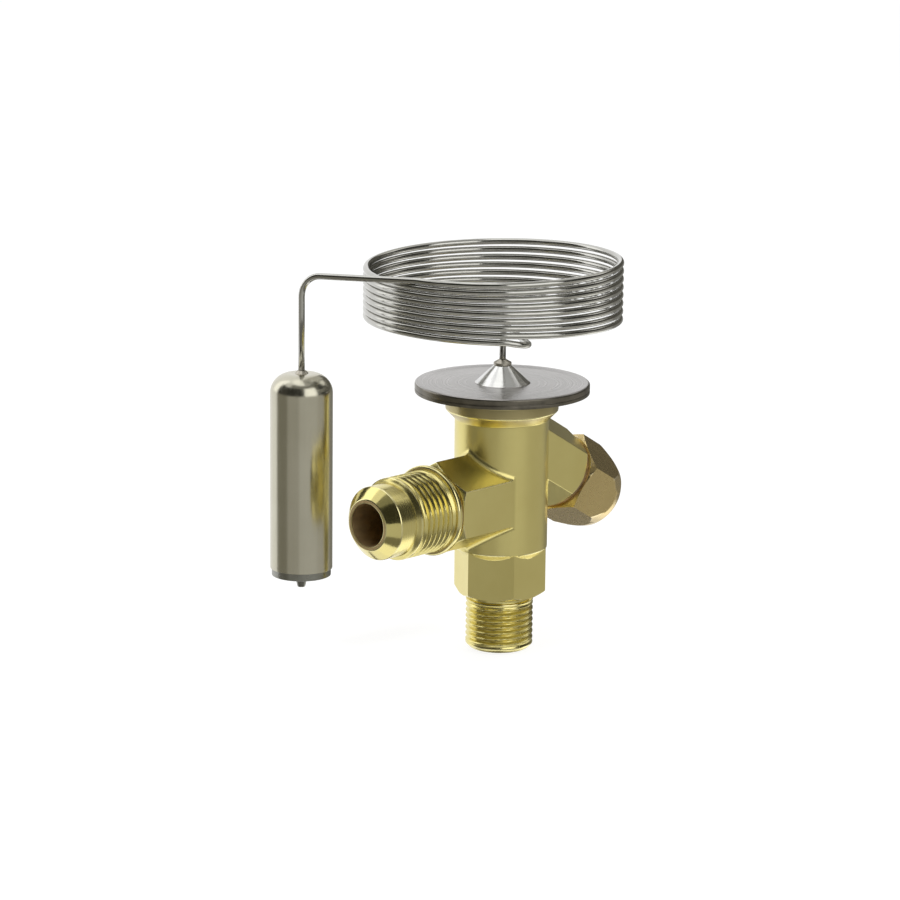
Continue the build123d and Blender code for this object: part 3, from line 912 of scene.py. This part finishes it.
def panel(name, around, upward, shade):
    """A studio panel that only reflections show: part of a globe about the object, in degrees.

    Its place is counted round to the right from the camera's side, and up from the horizon.
    """
    material, tree, surface = bare_material(name)
    glow = add(tree, "ShaderNodeEmission", Color=(*shade, 1), Strength=1.0)
    tree.links.new(glow.outputs[0], surface)
    columns = max(2, round((around[1] - around[0]) / PANEL_STEP))
    rows = max(2, round((upward[1] - upward[0]) / PANEL_STEP))
    front = Vector((toward_camera.x, toward_camera.y, 0)).normalized()
    vertices, faces = [], []
    for row in range(rows + 1):
        up = math.radians(upward[0] + (upward[1] - upward[0]) * row / rows)
        for column in range(columns + 1):
            turn = math.radians(around[0] + (around[1] - around[0]) * column / columns)
            flat = front * math.cos(turn) + level_right * math.sin(turn)
            away = flat * math.cos(up) + Vector((0, 0, 1)) * math.sin(up)
            vertices.append(PANEL_CENTRE + away * PANEL_DISTANCE)
    for row in range(rows):
        for column in range(columns):
            a = row * (columns + 1) + column
            faces.append((a, a + 1, a + columns + 2, a + columns + 1))
    piece = stage_piece(name, vertices, faces, material)
    piece.visible_camera = False
    piece.visible_diffuse = False
    piece.visible_shadow = False
    piece.visible_transmission = False


# Close to the horizon the panels follow the photograph's flat faces, and higher up they follow its coil
panel("low_left_dark", (-98, -52), (-34, 2), (0.23, 0.22, 0.18))
panel("low_front_left", (-52, -8), (-34, 2), (0.40, 0.39, 0.35))
panel("low_front", (-8, 62), (-34, 2), (0.50, 0.495, 0.46))
panel("low_right", (62, 130), (-30, 2), (0.45, 0.44, 0.40))
panel("low_right_back", (130, 172), (-24, 2), (0.25, 0.245, 0.22))
panel("floor_front", (-98, 62), (-58, -34), (0.18, 0.175, 0.155))
panel("floor_right", (62, 104), (-58, -30), (0.36, 0.35, 0.31))
panel("floor_right_back", (104, 150), (-58, -30), (1.5, 1.49, 1.42))
panel("floor_under", (-98, 138), (-90, -58), (1.1, 1.09, 1.04))
panel("floor_back", (150, 215), (-90, -46), (0.16, 0.155, 0.14))
panel("high_left_dark", (-98, -52), (2, 44), (0.05, 0.048, 0.04))
panel("high_left_softbox", (-126, -98), (4, 60), (1.5, 1.5, 1.48))
panel("high_front", (-52, 12), (2, 46), (0.03, 0.03, 0.025))
panel("high_softbox", (12, 62), (2, 46), (1.45, 1.45, 1.42))
panel("high_right", (62, 112), (2, 46), (0.05, 0.05, 0.045))
panel("high_window", (112, 138), (28, 54), (0.95, 0.94, 0.90))
panel("high_right_back", (112, 172), (2, 28), (0.11, 0.105, 0.09))
panel("head_left", (-98, -60), (46, 64), (0.85, 0.85, 0.83))
panel("head_front", (-60, 66), (46, 64), (0.22, 0.22, 0.20))
panel("head_right", (66, 112), (46, 66), (0.36, 0.355, 0.33))
panel("head_right_back", (138, 172), (28, 66), (0.54, 0.53, 0.49))
panel("ceiling_left", (-180, 20), (68, 89), (1.35, 1.35, 1.32))
panel("ceiling_right", (20, 172), (66, 89), (0.42, 0.42, 0.40))


LAMP_AIM = Vector((0, 0, 45 * MM))


def lamp(name, place, size, power):
    """A soft lamp that points at the object."""
    data = bpy.data.lights.new(name, "AREA")
    data.shape = "DISK"
    data.size = size
    data.energy = power
    piece = linked(name, data)
    piece.location = place
    piece.rotation_euler = (LAMP_AIM - Vector(place)).to_track_quat("-Z", "Y").to_euler()
    piece.visible_glossy = False


lamp("key", (-0.9, 0.1, 1.1), 0.5, 9)
lamp("fill", (0.3, -1.2, 0.9), 0.6, 5)

bpy.context.scene.view_settings.view_transform = "Standard"
